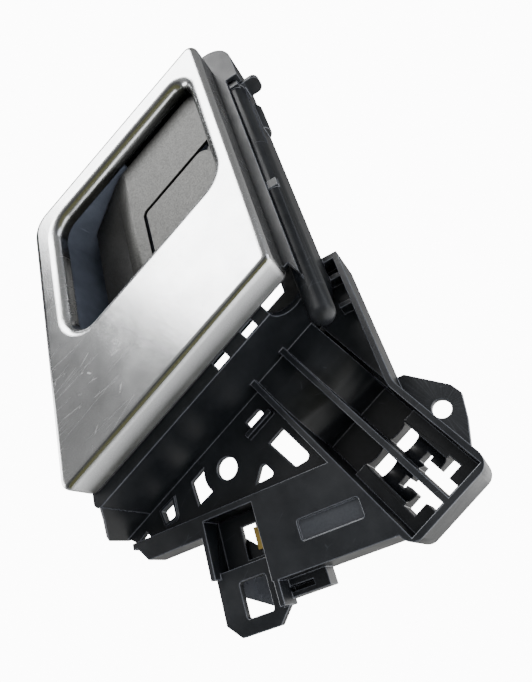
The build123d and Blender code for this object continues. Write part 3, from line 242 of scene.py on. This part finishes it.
def satin_silver(look):
    """Moulded plastic with satin chrome plating: a soft metal mirror, hazy with grain and hairlines."""
    material, tree, shader, place = new_material("satin_chrome_plated_plastic")
    cloud = add(tree, "ShaderNodeTexNoise", {"Vector": place, "Scale": 1 / (14 * MM), "Detail": 5.0,
                                             "Roughness": 0.6})
    # The blast grain is 0.1 mm on the part; it is drawn at 0.5 mm so that it shows.
    grain = add(tree, "ShaderNodeTexNoise", {"Vector": place, "Scale": 1 / (0.5 * MM), "Detail": 3.0,
                                             "Roughness": 0.65})
    peel = add(tree, "ShaderNodeTexNoise", {"Vector": place, "Scale": 1 / (3 * MM), "Detail": 2.0})
    # Hairlines are 0.03 mm wide on the part; they are drawn wider so that they show.
    layers = [scratch_lines(tree, place, math.radians(angle), length * MM, gap * MM, width * MM, share)
              for angle, length, gap, width, share in HAIRLINES]
    marks = layers[0]
    for layer in layers[1:]:
        marks = add(tree, "ShaderNodeMath", {0: marks, 1: layer}, operation="MAXIMUM").outputs["Value"]
    handled = box_mask(tree, place, HANDLED_CENTRE, HANDLED_HALF, LEAN, 0.7)
    fade = add(tree, "ShaderNodeMapRange", {"Value": handled, "To Min": 0.15, "To Max": 0.65})
    marks = add(tree, "ShaderNodeMath", {0: marks, 1: fade.outputs["Result"]},
                operation="MULTIPLY").outputs["Value"]
    tint = add(tree, "ShaderNodeMix", {"Factor": cloud.outputs["Fac"], 6: rgba(look.silver),
                                       7: rgba([c * 0.86 for c in look.silver])}, data_type="RGBA")
    fine = add(tree, "ShaderNodeMapRange", {"Value": grain.outputs["Fac"], "From Min": 0.3, "From Max": 0.7,
                                            "To Min": 0.78, "To Max": 1.1})
    hazed = add(tree, "ShaderNodeVectorMath", {0: tint.outputs[2], 1: fine.outputs["Result"]},
                operation="MULTIPLY")
    dull = add(tree, "ShaderNodeMapRange", {"Value": cloud.outputs["Fac"], "From Min": 0.3, "From Max": 0.7,
                                            "To Min": 0.2, "To Max": 0.28})
    dull_marks = add(tree, "ShaderNodeMath", {0: marks, 1: 0.3, 2: dull.outputs["Result"]},
                     operation="MULTIPLY_ADD", use_clamp=True)
    # The rim below the rounded lower edge is a coarser, milkier satin than the face; towards the carrier it
    # turns back to full metal, a painted shade that darkens it there.
    axes = add(tree, "ShaderNodeSeparateXYZ", {"Vector": place})
    rim = add(tree, "ShaderNodeMapRange", {"Value": axes.outputs["Z"], "From Min": RIM_TOP - RIM_FADE,
                                           "From Max": RIM_TOP, "To Min": 1.0, "To Max": 0.0})
    satin = add(tree, "ShaderNodeMath", {0: rim.outputs["Result"], 1: 0.25, 2: dull_marks.outputs["Value"]},
                operation="MULTIPLY_ADD", use_clamp=True)
    # Painted shade: the milky share fades out towards the carrier, so the rim darkens there.
    carrier_shade = add(tree, "ShaderNodeMapRange", {"Value": axes.outputs["Y"], "From Min": RIM_SHADE_DEPTH[0],
                                              "From Max": RIM_SHADE_DEPTH[1], "To Min": -0.44, "To Max": 0.0})
    milky_and_shaded = add(tree, "ShaderNodeMath", {0: rim.outputs["Result"], 1: carrier_shade.outputs["Result"], 2: 1.0},
                operation="MULTIPLY_ADD")
    tree.links.new(milky_and_shaded.outputs["Value"], shader.inputs["Metallic"])
    wave = add(tree, "ShaderNodeBump", {"Height": peel.outputs["Fac"], "Strength": 1.0,
                                        "Distance": 0.02 * MM})
    cut = add(tree, "ShaderNodeBump", {"Height": marks, "Strength": 0.3, "Distance": 0.02 * MM,
                                       "Normal": wave.outputs["Normal"]}, invert=True)
    relief = add(tree, "ShaderNodeBump", {"Height": grain.outputs["Fac"], "Strength": 0.25,
                                          "Distance": 0.02 * MM, "Normal": cut.outputs["Normal"]})
    tree.links.new(hazed.outputs["Vector"], shader.inputs["Base Color"])
    tree.links.new(satin.outputs["Value"], shader.inputs["Roughness"])
    tree.links.new(relief.outputs["Normal"], shader.inputs["Normal"])
    return material


def graphite_paint(look):
    """Sprayed metallic paint on plastic: dark satin with tiny bright flakes."""
    material, tree, shader, place = new_material("graphite_metallic_paint")
    # Paint flakes are 0.05 mm on the part; they are drawn at 0.4 mm so that they show.
    flakes = add(tree, "ShaderNodeTexVoronoi", {"Vector": place, "Scale": 1 / (0.4 * MM)})
    speck = add(tree, "ShaderNodeTexNoise", {"Vector": place, "Scale": 1 / (0.9 * MM), "Detail": 4.0,
                                             "Roughness": 0.7})
    cloud = add(tree, "ShaderNodeTexNoise", {"Vector": place, "Scale": 1 / (16 * MM), "Detail": 3.0})
    spark = add(tree, "ShaderNodeMapRange", {"Value": flakes.outputs["Color"], "To Min": 0.6, "To Max": 1.45})
    tint = add(tree, "ShaderNodeMix", {"Factor": cloud.outputs["Fac"], 6: rgba(look.graphite),
                                       7: rgba([c * 0.82 for c in look.graphite])}, data_type="RGBA")
    flecked = add(tree, "ShaderNodeVectorMath", {0: tint.outputs[2], 1: spark.outputs["Result"]},
                  operation="MULTIPLY")
    dull = add(tree, "ShaderNodeMapRange", {"Value": speck.outputs["Fac"], "From Min": 0.3, "From Max": 0.7,
                                            "To Min": 0.34, "To Max": 0.44})
    relief = add(tree, "ShaderNodeBump", {"Height": speck.outputs["Fac"], "Strength": 0.3,
                                          "Distance": 0.06 * MM})
    tree.links.new(flecked.outputs["Vector"], shader.inputs["Base Color"])
    tree.links.new(dull.outputs["Result"], shader.inputs["Roughness"])
    tree.links.new(relief.outputs["Normal"], shader.inputs["Normal"])
    shader.inputs["Metallic"].default_value = 0.85
    shader.inputs["Specular IOR Level"].default_value = 0.3
    return material


def black_plastic(name, colour, grain_size, relief_depth, dull_low, dull_high, gloss=0.15):
    """Black moulded plastic: a spark-eroded tool grain, with slight handling bloom and rubbed streaks."""
    material, tree, shader, place = new_material(name)
    grain = add(tree, "ShaderNodeTexNoise", {"Vector": place, "Scale": 1 / grain_size, "Detail": 4.0,
                                             "Roughness": 0.6})
    bloom = add(tree, "ShaderNodeTexNoise", {"Vector": place, "Scale": 1 / (22 * MM), "Detail": 6.0,
                                             "Roughness": 0.68})
    flow = add(tree, "ShaderNodeMapRange", {"Value": bloom.outputs["Fac"], "From Min": 0.38,
                                            "From Max": 0.72})
    rub = scratch_lines(tree, place, math.radians(55), 18 * MM, 5 * MM, 0.1 * MM, 0.4)
    tint = add(tree, "ShaderNodeMix", {"Factor": flow.outputs["Result"], 6: rgba(colour),
                                       7: rgba([1.7 * c + 0.002 for c in colour])}, data_type="RGBA")
    rubbed = add(tree, "ShaderNodeMix", {"Factor": rub, 6: tint.outputs[2],
                                         7: rgba([3 * c + 0.008 for c in colour])}, data_type="RGBA")
    dull = add(tree, "ShaderNodeMapRange", {"Value": bloom.outputs["Fac"], "From Min": 0.32, "From Max": 0.68,
                                            "To Min": dull_low, "To Max": dull_high})
    relief = add(tree, "ShaderNodeBump", {"Height": grain.outputs["Fac"], "Strength": 0.4,
                                          "Distance": relief_depth})
    tree.links.new(rubbed.outputs[2], shader.inputs["Base Color"])
    tree.links.new(dull.outputs["Result"], shader.inputs["Roughness"])
    tree.links.new(relief.outputs["Normal"], shader.inputs["Normal"])
    shader.inputs["IOR"].default_value = 1.5
    shader.inputs["Specular IOR Level"].default_value = gloss
    return material


def lit_recess_and_scored_ear(material, colour):
    """Paints the shelf recess paler and mottled, a painted light on its floor, and adds the scored screw ear
    to the raw moulding.
    """
    tree = material.node_tree
    shader = tree.nodes["Principled BSDF"]
    place = add(tree, "ShaderNodeTexCoord").outputs["Object"]
    # The paler, mottled recess is painted light on the shelf floor.
    lit_recess = box_mask(tree, place, RECESS_CENTRE, RECESS_HALF, LEAN, 0.03)
    tooth = add(tree, "ShaderNodeTexNoise", {"Vector": place, "Scale": 1 / (0.8 * MM), "Detail": 5.0,
                                             "Roughness": 0.7})
    spread = add(tree, "ShaderNodeMapRange", {"Value": tooth.outputs["Fac"], "From Min": 0.3, "From Max": 0.7,
                                              "To Min": 0.55, "To Max": 1.25})
    recess_light = add(tree, "ShaderNodeMath", {0: lit_recess, 1: spread.outputs["Result"]}, operation="MULTIPLY",
                 use_clamp=True)
    ear = box_mask(tree, place, EAR_CENTRE, EAR_HALF, 0.0, 0.3)
    laid = add(tree, "ShaderNodeMapping", {"Vector": place, "Rotation": (math.radians(90), 0, 0)})
    turn = add(tree, "ShaderNodeTexGradient", {"Vector": laid.outputs["Vector"]}, gradient_type="RADIAL")
    rays = add(tree, "ShaderNodeTexNoise", {"W": turn.outputs["Fac"], "Scale": 90.0, "Detail": 3.0},
               noise_dimensions="1D")
    score = add(tree, "ShaderNodeMapRange", {"Value": rays.outputs["Fac"], "From Min": 0.45, "From Max": 0.75,
                                             "To Min": 0.0, "To Max": 0.6})
    scored = add(tree, "ShaderNodeMath", {0: ear, 1: score.outputs["Result"]}, operation="MULTIPLY")
    both = add(tree, "ShaderNodeMath", {0: recess_light.outputs["Value"], 1: scored.outputs["Value"]},
               operation="MAXIMUM")
    base = shader.inputs["Base Color"].links[0].from_socket
    paler = add(tree, "ShaderNodeMix", {"Factor": both.outputs["Value"], 6: base, 7: rgba(colour)},
                data_type="RGBA")
    tree.links.new(paler.outputs[2], shader.inputs["Base Color"])


def plated_steel(name, colour, bloom_size, dull_low, dull_high):
    """Stamped or drawn steel with a thin plating: metal with cloudy tint and fine drawing lines."""
    material, tree, shader, place = new_material(name)
    cloud = add(tree, "ShaderNodeTexNoise", {"Vector": place, "Scale": 1 / bloom_size, "Detail": 4.0})
    fine = add(tree, "ShaderNodeTexNoise", {"Vector": place, "Scale": 1 / (0.15 * MM), "Detail": 2.0})
    tint = add(tree, "ShaderNodeMix", {"Factor": cloud.outputs["Fac"], 6: rgba(colour),
                                       7: rgba([0.72 * c for c in colour])}, data_type="RGBA")
    dull = add(tree, "ShaderNodeMapRange", {"Value": cloud.outputs["Fac"], "To Min": dull_low,
                                            "To Max": dull_high})
    relief = add(tree, "ShaderNodeBump", {"Height": fine.outputs["Fac"], "Strength": 0.1,
                                          "Distance": 0.02 * MM})
    tree.links.new(tint.outputs[2], shader.inputs["Base Color"])
    tree.links.new(dull.outputs["Result"], shader.inputs["Roughness"])
    tree.links.new(relief.outputs["Normal"], shader.inputs["Normal"])
    shader.inputs["Metallic"].default_value = 1.0
    return material


def soft_black(name, colour, grain_size, relief_depth, dull):
    """Rubber or felt: no mirror gloss, with a soft tooth to the surface."""
    material, tree, shader, place = new_material(name)
    tooth = add(tree, "ShaderNodeTexNoise", {"Vector": place, "Scale": 1 / grain_size, "Detail": 6.0,
                                             "Roughness": 0.7})
    tint = add(tree, "ShaderNodeMix", {"Factor": tooth.outputs["Fac"], 6: rgba([0.7 * c for c in colour]),
                                       7: rgba([1.4 * c for c in colour])}, data_type="RGBA")
    relief = add(tree, "ShaderNodeBump", {"Height": tooth.outputs["Fac"], "Strength": 0.6,
                                          "Distance": relief_depth})
    tree.links.new(tint.outputs[2], shader.inputs["Base Color"])
    tree.links.new(relief.outputs["Normal"], shader.inputs["Normal"])
    shader.inputs["Roughness"].default_value = dull
    return material


def dress(node, material):
    """Gives a node of the frame its material."""
    mesh = NODES[node].data
    mesh.materials.clear()
    mesh.materials.append(material)


def break_edges(node, width, rubbed=None):
    """Rounds the sharp edges of a node of the frame; they may get their own lighter finish, a painted edge
    highlight.
    """
    piece = NODES[node]
    weld = piece.modifiers.new("join", "WELD")
    weld.merge_threshold = WELD_GAP
    flat = piece.modifiers.new("flat", "DECIMATE")
    flat.decimate_type = "DISSOLVE"
    flat.angle_limit = FLAT_ANGLE
    edge = piece.modifiers.new("edges", "BEVEL")
    edge.width = width
    edge.segments = 2
    edge.limit_method = "ANGLE"
    edge.angle_limit = EDGE_ANGLE
    edge.harden_normals = True
    # One tiny edge would shrink every rounding if overlaps were clamped.
    edge.use_clamp_overlap = False
    # The rounded edges may take a lighter, glossier finish: a painted edge highlight.
    if rubbed:
        piece.data.materials.append(rubbed)
        edge.material = len(piece.data.materials) - 1


class HANDLE_OT_bezel(bpy.types.Operator):
    """Satin plating on the bezel"""
    bl_idname = "handle.bezel"
    bl_label = "Bezel"

    def execute(self, context):
        dress("bezel", satin_silver(context.scene.handle_finishes))
        return {"FINISHED"}


class HANDLE_OT_lever(bpy.types.Operator):
    """Metallic paint on the lever and lock covers"""
    bl_idname = "handle.lever"
    bl_label = "Lever and lock covers"

    def execute(self, context):
        look = context.scene.handle_finishes
        paint = graphite_paint(look)
        for node in ("lever_cover", "lock_cover"):
            dress(node, paint)
            break_edges(node, look.edge_break)
        return {"FINISHED"}


class HANDLE_OT_cup(bpy.types.Operator):
    """Grained black plastic on the cup and lever core"""
    bl_idname = "handle.cup"
    bl_label = "Cup and lever core"

    def execute(self, context):
        look = context.scene.handle_finishes
        plastic = black_plastic("grained_black_plastic", look.cup_black, 0.45 * MM, 0.06 * MM, 0.42, 0.55)
        for node in ("finger_cup", "lever_core"):
            dress(node, plastic)
        return {"FINISHED"}


class HANDLE_OT_carrier(bpy.types.Operator):
    """Raw black moulding of the carrier and the lock crank"""
    bl_idname = "handle.carrier"
    bl_label = "Carrier"

    def execute(self, context):
        look = context.scene.handle_finishes
        plastic = black_plastic("raw_black_moulding", look.moulding_black, 0.4 * MM, 0.05 * MM, 0.3, 0.48,
                                gloss=0.3)
        for node in ("carrier", "lock_crank"):
            dress(node, plastic)
        lit_recess_and_scored_ear(plastic, look.lit_recess_and_ear_black)
        # The carrier's rounded edges get a lighter black: a painted edge highlight.
        edges = black_plastic("rubbed_moulding_edge", look.edge_highlight_black, 0.4 * MM, 0.02 * MM, 0.22, 0.34,
                              gloss=0.6)
        break_edges("carrier", look.edge_break, edges)
        return {"FINISHED"}


class HANDLE_OT_webs(bpy.types.Operator):
    """Small webs of the carrier, behind its openings and in the corner of the cable bracket"""
    bl_idname = "handle.webs"
    bl_label = "Carrier webs"

    def execute(self, context):
        finishes = NODES["carrier"].data.materials
        for name, (thick, finish, outline) in WEBS.items():
            mesh = bpy.data.meshes.new(name)
            near = [Vector(corner) * MM for corner in outline]
            far = [corner + Vector((0, thick * MM, 0)) for corner in near]
            sides = [(k, k + 4, (k + 1) % 4 + 4, (k + 1) % 4) for k in range(4)]
            mesh.from_pydata(near + far, [], [(0, 1, 2, 3), (7, 6, 5, 4), *sides])
            mesh.materials.append(finishes[finish])
            web = bpy.data.objects.new(name, mesh)
            context.scene.collection.objects.link(web)
            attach(web, "frame")
        return {"FINISHED"}


class HANDLE_OT_hardware(bpy.types.Operator):
    """Steel pin, ring, springs, clip and screws"""
    bl_idname = "handle.hardware"
    bl_label = "Steel pieces"

    def execute(self, context):
        look = context.scene.handle_finishes
        zinc = plated_steel("bright_zinc_steel", look.bright_zinc, 2 * MM, 0.25, 0.4)
        spring = plated_steel("oiled_spring_steel", look.spring_steel, 1.5 * MM, 0.25, 0.38)
        yellow = plated_steel("yellow_zinc_steel", look.yellow_zinc, 1.2 * MM, 0.28, 0.45)
        for node in ("hinge_pin", "cup_screws"):
            dress(node, zinc)
        for node in ("pin_clip", "lever_spring", "detent_spring"):
            dress(node, spring)
        dress("tongue_clip", yellow)
        return {"FINISHED"}


class HANDLE_OT_soft(bpy.types.Operator):
    """Rubber stops and felt strip"""
    bl_idname = "handle.soft"
    bl_label = "Rubber and felt"

    def execute(self, context):
        look = context.scene.handle_finishes
        rubber = soft_black("matt_black_rubber", look.rubber, 0.5 * MM, 0.03 * MM, 0.8)
        for node in ("lever_bump_stops", "tab_bump_stop"):
            dress(node, rubber)
        dress("felt_strip", soft_black("charcoal_felt", look.felt, 0.35 * MM, 0.15 * MM, 0.95))
        return {"FINISHED"}


def softbox(name, aim, direction, distance, size, power, colour):
    """Rectangular area light that looks at a point from a direction."""
    data = bpy.data.lights.new(name, "AREA")
    data.shape = "RECTANGLE"
    data.size, data.size_y = size
    data.energy = power
    data.color = linear(colour)
    light = bpy.data.objects.new(name, data)
    bpy.context.scene.collection.objects.link(light)
    way = Vector(direction).normalized()
    light.location = aim + way * distance
    light.rotation_mode = "QUATERNION"
    light.rotation_quaternion = way.to_track_quat("Z", "Y")
    light.visible_camera = False


class HANDLE_OT_stage(bpy.types.Operator):
    """Pale floor, studio light and camera"""
    bl_idname = "handle.stage"
    bl_label = "Stage"

    def execute(self, context):
        stage = context.scene.handle_stage
        low, high = CAD_BOX
        middle = (low + high) / 2
        self.floor(low.z - stage.floor_drop)
        for name, direction, distance, size, colour in SOFTBOXES:
            softbox(name, middle, direction, distance, size, getattr(stage, f"{name}_power"), colour)
        self.world(context.scene)
        self.camera(context.scene, stage)
        return {"FINISHED"}

    def floor(self, height):
        """Wide pale board, slightly mottled."""
        mesh = bpy.data.meshes.new("floor")
        corners = ((-1, -1), (1, -1), (1, 1), (-1, 1))
        mesh.from_pydata([(x * FLOOR_HALF, y * FLOOR_HALF, height) for x, y in corners], [], [(0, 1, 2, 3)])
        board = bpy.data.objects.new("floor", mesh)
        bpy.context.scene.collection.objects.link(board)
        material, tree, shader, place = new_material("pale_matt_board")
        mottle = add(tree, "ShaderNodeTexNoise", {"Vector": place, "Scale": 1 / (60 * MM), "Detail": 4.0})
        tint = add(tree, "ShaderNodeMix", {"Factor": mottle.outputs["Fac"], 6: rgba(linear("#f4f4f3")),
                                           7: rgba(linear("#eeeeec"))}, data_type="RGBA")
        tree.links.new(tint.outputs[2], shader.inputs["Base Color"])
        shader.inputs["Roughness"].default_value = 0.85
        mesh.materials.append(material)
        board.visible_glossy = False

    def world(self, scene):
        """White backdrop; the part mirrors a pale room behind and a grey one with olive ground in front."""
        world = bpy.data.worlds.new("studio")
        scene.world = world
        world.use_nodes = True
        tree = world.node_tree
        place = add(tree, "ShaderNodeTexCoord").outputs["Generated"]
        axes = add(tree, "ShaderNodeSeparateXYZ", {"Vector": place})
        behind = add(tree, "ShaderNodeMapRange", {"Value": axes.outputs["Y"], "From Min": -0.1,
                                                  "From Max": 0.5})
        rise = add(tree, "ShaderNodeMapRange", {"Value": axes.outputs["Z"], "From Min": -1.0,
                                                "From Max": 1.0})
        front = add(tree, "ShaderNodeValToRGB", {"Fac": rise.outputs["Result"]})
        back = add(tree, "ShaderNodeValToRGB", {"Fac": rise.outputs["Result"]})
        for room, stops in ((front, ROOM_IN_FRONT), (back, ROOM_BEHIND)):
            ramp = room.color_ramp.elements
            for _ in stops[2:]:
                ramp.new(0.5)
            for stop, (code, position) in zip(ramp, stops):
                stop.position = position
                stop.color = rgba(linear(code))
        around = add(tree, "ShaderNodeMix", {"Factor": behind.outputs["Result"], 6: front.outputs["Color"],
                                             7: back.outputs["Color"]}, data_type="RGBA")
        path = add(tree, "ShaderNodeLightPath")
        soft = add(tree, "ShaderNodeMix", {"Factor": path.outputs["Is Diffuse Ray"], 6: around.outputs[2],
                                           7: rgba(linear("#f4f6fa"))}, data_type="RGBA")
        colour = add(tree, "ShaderNodeMix", {"Factor": path.outputs["Is Camera Ray"], 6: soft.outputs[2],
                                             7: rgba((1, 1, 1))}, data_type="RGBA")
        ambient = add(tree, "ShaderNodeMix", {"Factor": path.outputs["Is Diffuse Ray"],
                                              "A": MIRRORED_STRENGTH, "B": AMBIENT_STRENGTH})
        strength = add(tree, "ShaderNodeMix", {"Factor": path.outputs["Is Camera Ray"],
                                               "A": ambient.outputs["Result"], "B": BACKDROP_STRENGTH})
        ground = tree.nodes["Background"]
        tree.links.new(colour.outputs[2], ground.inputs["Color"])
        tree.links.new(strength.outputs["Result"], ground.inputs["Strength"])

    def camera(self, scene, stage):
        """Camera at the photograph's place, looking up past the lower edge of the bezel."""
        data = bpy.data.cameras.new("camera")
        data.sensor_width = 36
        data.lens = stage.lens
        data.clip_start = 5 * MM
        camera = bpy.data.objects.new("camera", data)
        scene.collection.objects.link(camera)
        back = -Vector(stage.camera_forward).normalized()
        up = -Vector(stage.camera_down)
        up = (up - back * up.dot(back)).normalized()
        right = up.cross(back)
        turn = Matrix((right, up, back)).transposed().to_4x4()
        camera.matrix_world = Matrix.Translation(Vector(stage.camera_place)) @ turn
        scene.camera = camera


class HANDLE_PT_panel(bpy.types.Panel):
    """Lists the steps that finish the handle"""
    bl_label = "Handle"
    bl_idname = "HANDLE_PT_panel"
    bl_space_type = "VIEW_3D"
    bl_region_type = "UI"
    bl_category = "Handle"

    def draw(self, context):
        for step in STEPS:
            self.layout.operator(step.bl_idname)


STEPS = (HANDLE_OT_bezel, HANDLE_OT_lever, HANDLE_OT_cup, HANDLE_OT_carrier, HANDLE_OT_webs,
         HANDLE_OT_hardware, HANDLE_OT_soft, HANDLE_OT_stage)
CLASSES = (HandleFinishes, HandleStage, *STEPS, HANDLE_PT_panel)


def register():
    """Registers the classes and hangs both property groups on the scene."""
    for cls in CLASSES:
        bpy.utils.register_class(cls)
    bpy.types.Scene.handle_finishes = PointerProperty(type=HandleFinishes)
    bpy.types.Scene.handle_stage = PointerProperty(type=HandleStage)


def unregister():
    """Takes back what register did."""
    del bpy.types.Scene.handle_stage
    del bpy.types.Scene.handle_finishes
    for cls in reversed(CLASSES):
        bpy.utils.unregister_class(cls)


def main():
    """Registers the add-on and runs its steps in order."""
    register()
    bpy.ops.handle.bezel()
    bpy.ops.handle.lever()
    bpy.ops.handle.cup()
    bpy.ops.handle.carrier()
    bpy.ops.handle.webs()
    bpy.ops.handle.hardware()
    bpy.ops.handle.soft()
    bpy.ops.handle.stage()


if __name__ == "__main__":
    main()
